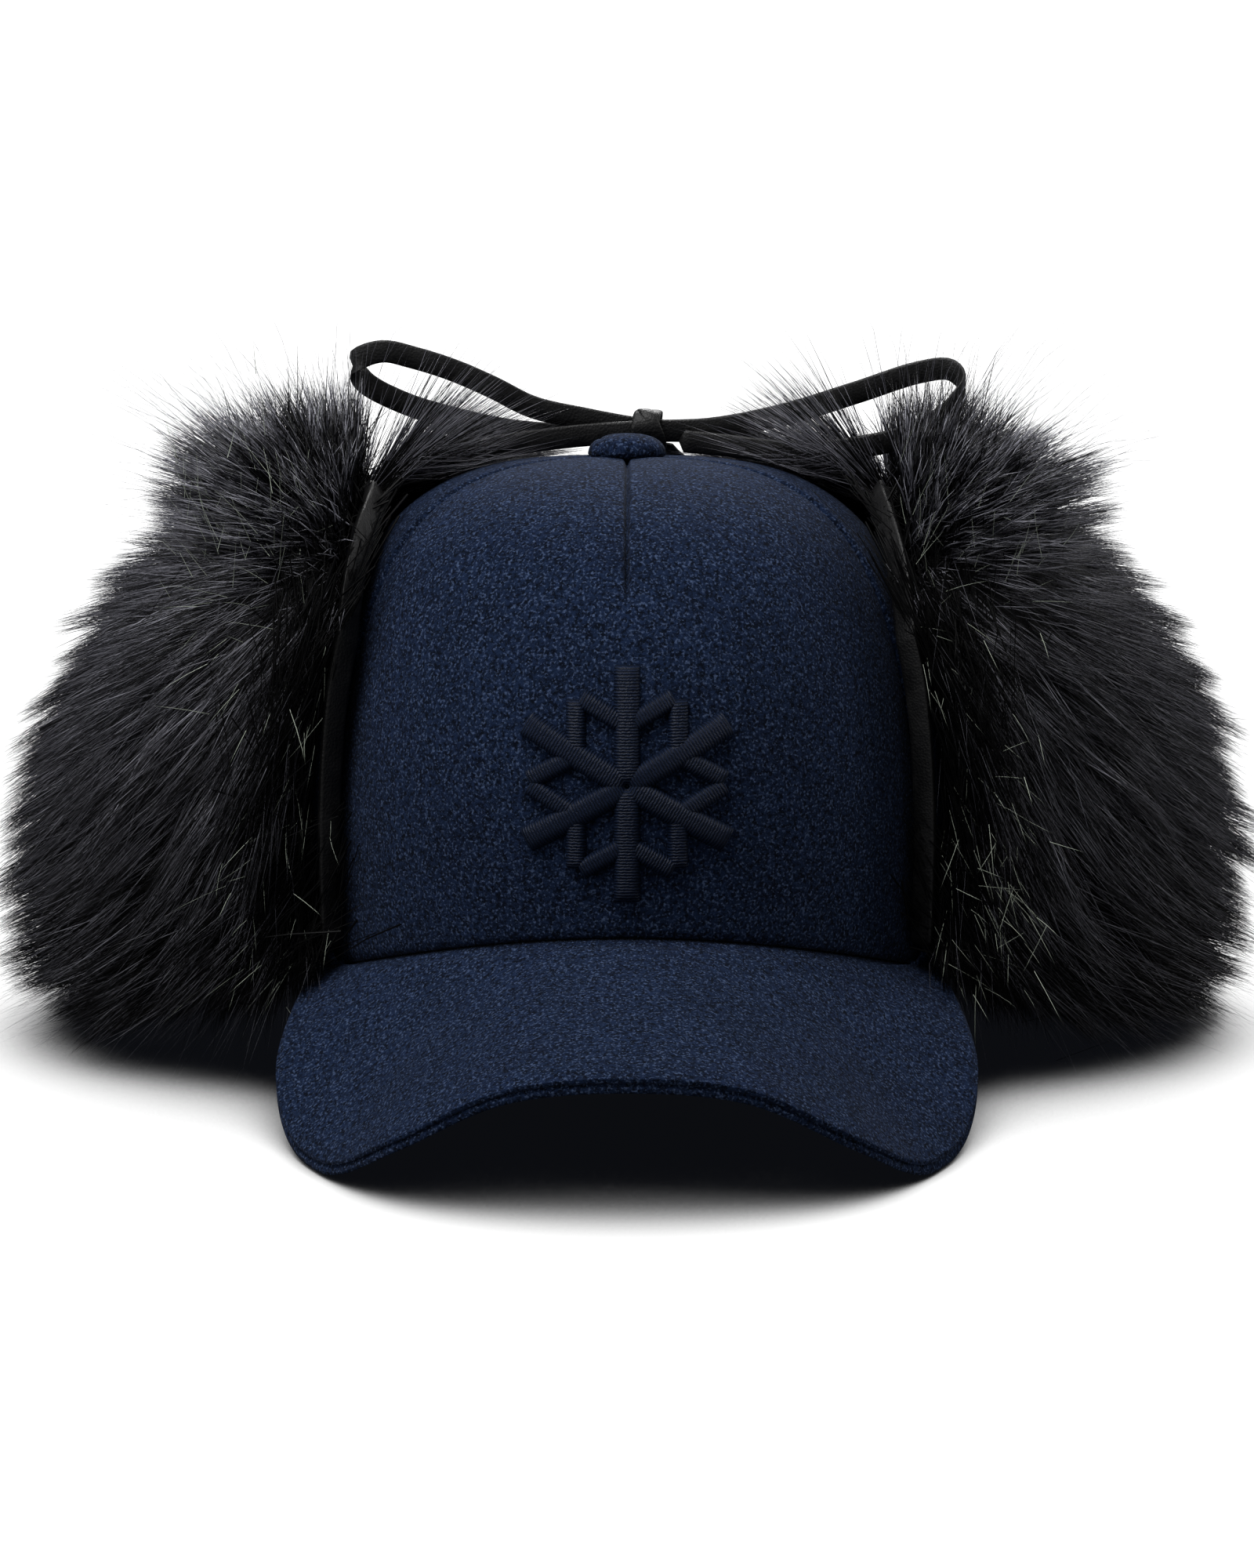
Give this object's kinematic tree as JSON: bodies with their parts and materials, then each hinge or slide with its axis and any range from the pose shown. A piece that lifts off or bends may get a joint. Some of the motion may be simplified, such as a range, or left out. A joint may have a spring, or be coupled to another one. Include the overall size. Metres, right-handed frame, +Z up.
{
  "type": "trapper hat",
  "caption": "Cap-style trapper hat with a curved visor and fur-lined ear and neck flaps folded up, the ear flaps tied over the crown in a leather bow.",
  "frame": {"origin": "on the table under the middle of the hat's box, ties left out", "axes": "+Z up, -Y the way the wearer faces, +X the wearer's left"},
  "size_m": [0.3094, 0.3206, 0.1761],
  "materials": {
    "wool_melton": "heathered navy wool melton, brushed and matt",
    "faux_fur": "long charcoal pile fur with shiny guard hairs",
    "leather": "soft black nappa leather, satin, cut edges",
    "embroidery_thread": "padded satin stitch in charcoal rayon thread",
    "buckram": "stiffened open cotton weave",
    "lining_satin": "black polyester satin lining",
    "sweatband_twill": "cotton twill sweatband with stitched edge",
    "visor_board": "flexible polyethylene board",
    "steel": "zinc plated steel"
  },
  "bodies": {
    "crown": {"front_panel": "wool_melton", "side_panel_left": "wool_melton", "side_panel_right": "wool_melton", "back_panel_left": "wool_melton", "back_panel_right": "wool_melton", "front_buckram": "buckram", "crown_lining": "lining_satin", "sweatband": "sweatband_twill", "button_cap": "wool_melton", "button_rivet": "steel", "visor_top_cover": "wool_melton", "visor_board": "visor_board", "visor_under_cover": "wool_melton", "front_embroidery": "embroidery_thread"},
    "ear_flap_left": {"ear_flap_cloth_left": "wool_melton", "ear_flap_fur_left": "faux_fur", "ear_flap_binding_left": "leather", "lace_tab_left": "leather"},
    "ear_flap_right": {"ear_flap_cloth_right": "wool_melton", "ear_flap_fur_right": "faux_fur", "ear_flap_binding_right": "leather", "lace_tab_right": "leather"},
    "neck_flap": {"neck_flap_cloth": "wool_melton", "neck_flap_fur": "faux_fur", "neck_flap_binding": "leather"},
    "tie_left": {"lace_left": "leather", "lace_tail_left": "leather"},
    "tie_right": {"lace_right": "leather", "lace_tail_right": "leather", "bow_knot": "leather"}
  },
  "joints": [
    {"name": "ear_flap_left_fold", "type": "hinge", "parent": "crown", "child": "ear_flap_left", "pos_m": [0.084, 0.01166, 0.015], "axis": [0, 0.9806, -0.1961], "range_deg": [0, 170]},
    {"name": "ear_flap_right_fold", "type": "hinge", "parent": "crown", "child": "ear_flap_right", "pos_m": [-0.084, 0.01166, 0.015], "axis": [0, -0.9806, 0.1961], "range_deg": [0, 170]},
    {"name": "neck_flap_fold", "type": "hinge", "parent": "crown", "child": "neck_flap", "pos_m": [0, 0.11516, 0.0045], "axis": [-1, 0, 0], "range_deg": [0, 165]},
    {"name": "tie_left_swing", "type": "hinge", "parent": "ear_flap_left", "child": "tie_left", "pos_m": [0.0545, 0.01416, 0.1455], "axis": [0, 0.9285, 0.3714], "range_deg": [0, 85]},
    {"name": "tie_right_swing", "type": "hinge", "parent": "ear_flap_right", "child": "tie_right", "pos_m": [-0.0545, 0.01416, 0.1455], "axis": [0, -0.9285, -0.3714], "range_deg": [0, 85]}
  ],
  "couplings": [
    {"joint": "tie_left_swing", "follows": "ear_flap_left_fold", "ratio": 0.5},
    {"joint": "tie_right_swing", "follows": "ear_flap_right_fold", "ratio": 0.5}
  ]
}
